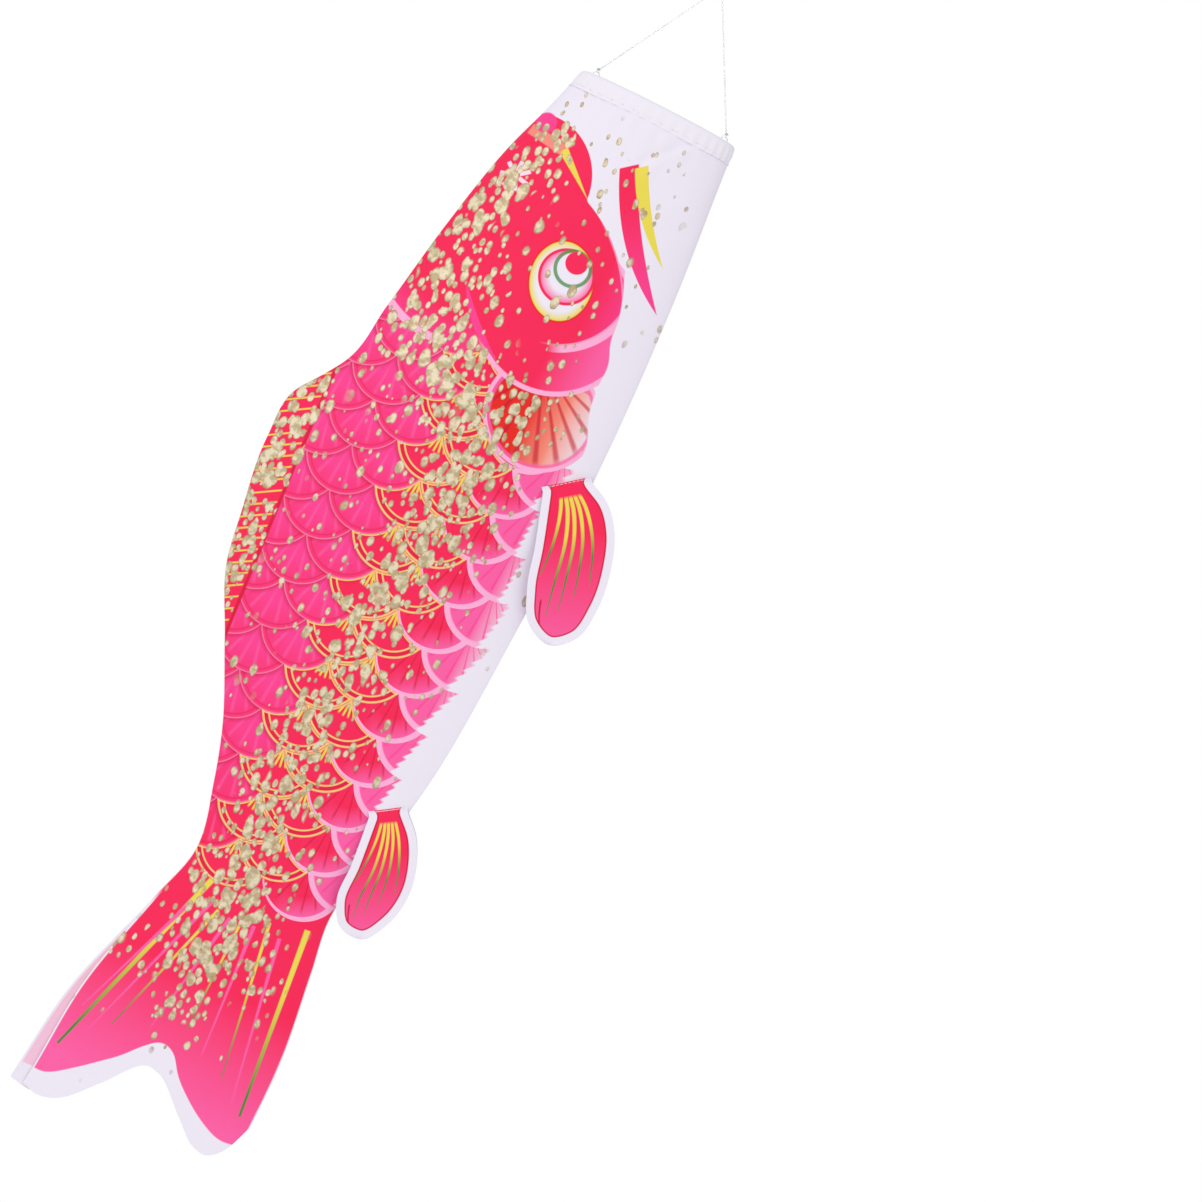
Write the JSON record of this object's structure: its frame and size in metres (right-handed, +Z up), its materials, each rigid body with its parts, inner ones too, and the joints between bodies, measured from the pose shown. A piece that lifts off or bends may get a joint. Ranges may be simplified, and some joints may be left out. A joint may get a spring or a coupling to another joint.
{
  "type": "carp streamer",
  "caption": "Cloth carp streamer: a printed fish-shaped tube open at mouth and tail, on a wire hoop, hung head up from a thread bridle.",
  "frame": {"origin": "top of the hanging loop, where the pole's line or a hook holds it", "axes": "+Z up, from the tail to the mouth; +X from the back to the belly; +Y to the fish's left side"},
  "size_m": [0.2256, 0.04, 0.7951],
  "materials": {
    "printed_cloth": "satin printed polyester",
    "hem_cloth": "satin polyester, sewn",
    "tail_cloth": "satin printed polyester",
    "fin_cloth": "satin printed polyester",
    "seam_cloth": "overlocked cloth edge",
    "hoop_wire": "drawn wire",
    "sleeve_metal": "crimped tube",
    "clear_thread": "clear nylon line"
  },
  "bodies": {
    "bridle": {"hang_loop": "clear_thread", "apex_knot": "clear_thread", "bridle_line_back": "clear_thread", "bridle_line_belly": "clear_thread", "back_line_knot": "clear_thread", "belly_line_knot": "clear_thread"},
    "head": {"back_tie_loop": "clear_thread", "belly_tie_loop": "clear_thread", "mouth_hoop": "hoop_wire", "hoop_sleeve": "sleeve_metal", "mouth_hem": "hem_cloth", "right_panel_front": "printed_cloth", "left_panel_front": "printed_cloth", "back_seam_front": "seam_cloth", "belly_seam_front": "seam_cloth", "right_pectoral_root": "seam_cloth", "left_pectoral_root": "seam_cloth"},
    "rear": {"right_panel_rear": "printed_cloth", "left_panel_rear": "printed_cloth", "back_seam_rear": "seam_cloth", "belly_seam_rear": "seam_cloth", "right_anal_root": "seam_cloth", "left_anal_root": "seam_cloth"},
    "tail": {"right_tail_panel": "tail_cloth", "left_tail_panel": "tail_cloth", "back_seam_tail": "seam_cloth", "belly_seam_tail": "seam_cloth"},
    "right_pectoral": {"right_pectoral_fin": "fin_cloth"},
    "left_pectoral": {"left_pectoral_fin": "fin_cloth"},
    "right_anal": {"right_anal_fin": "fin_cloth"},
    "left_anal": {"left_anal_fin": "fin_cloth"}
  },
  "joints": [
    {"name": "head_swing", "type": "hinge", "parent": "bridle", "child": "head", "pos_m": [0, 0, -0.09175], "axis": [1, 0, 0], "range_deg": [-75, 75]},
    {"name": "body_bend", "type": "hinge", "parent": "head", "child": "rear", "pos_m": [0, 0, -0.4702], "axis": [1, 0, 0], "range_deg": [-20, 20]},
    {"name": "tail_bend", "type": "hinge", "parent": "rear", "child": "tail", "pos_m": [0, 0, -0.6298], "axis": [1, 0, 0], "range_deg": [-30, 30]},
    {"name": "right_pectoral_flap", "type": "hinge", "parent": "head", "child": "right_pectoral", "pos_m": [0.05388, -0.00999, -0.32402], "axis": [-0.7741, -0.095, -0.6259], "range_deg": [0, 70]},
    {"name": "left_pectoral_flap", "type": "hinge", "parent": "head", "child": "left_pectoral", "pos_m": [0.05388, 0.00999, -0.32402], "axis": [0.7741, -0.095, 0.6259], "range_deg": [0, 70]},
    {"name": "right_anal_flap", "type": "hinge", "parent": "rear", "child": "right_anal", "pos_m": [0.04691, -0.00554, -0.54852], "axis": [-0.8277, -0.1016, -0.5518], "range_deg": [0, 70]},
    {"name": "left_anal_flap", "type": "hinge", "parent": "rear", "child": "left_anal", "pos_m": [0.04691, 0.00554, -0.54852], "axis": [0.8277, -0.1016, 0.5518], "range_deg": [0, 70]}
  ]
}
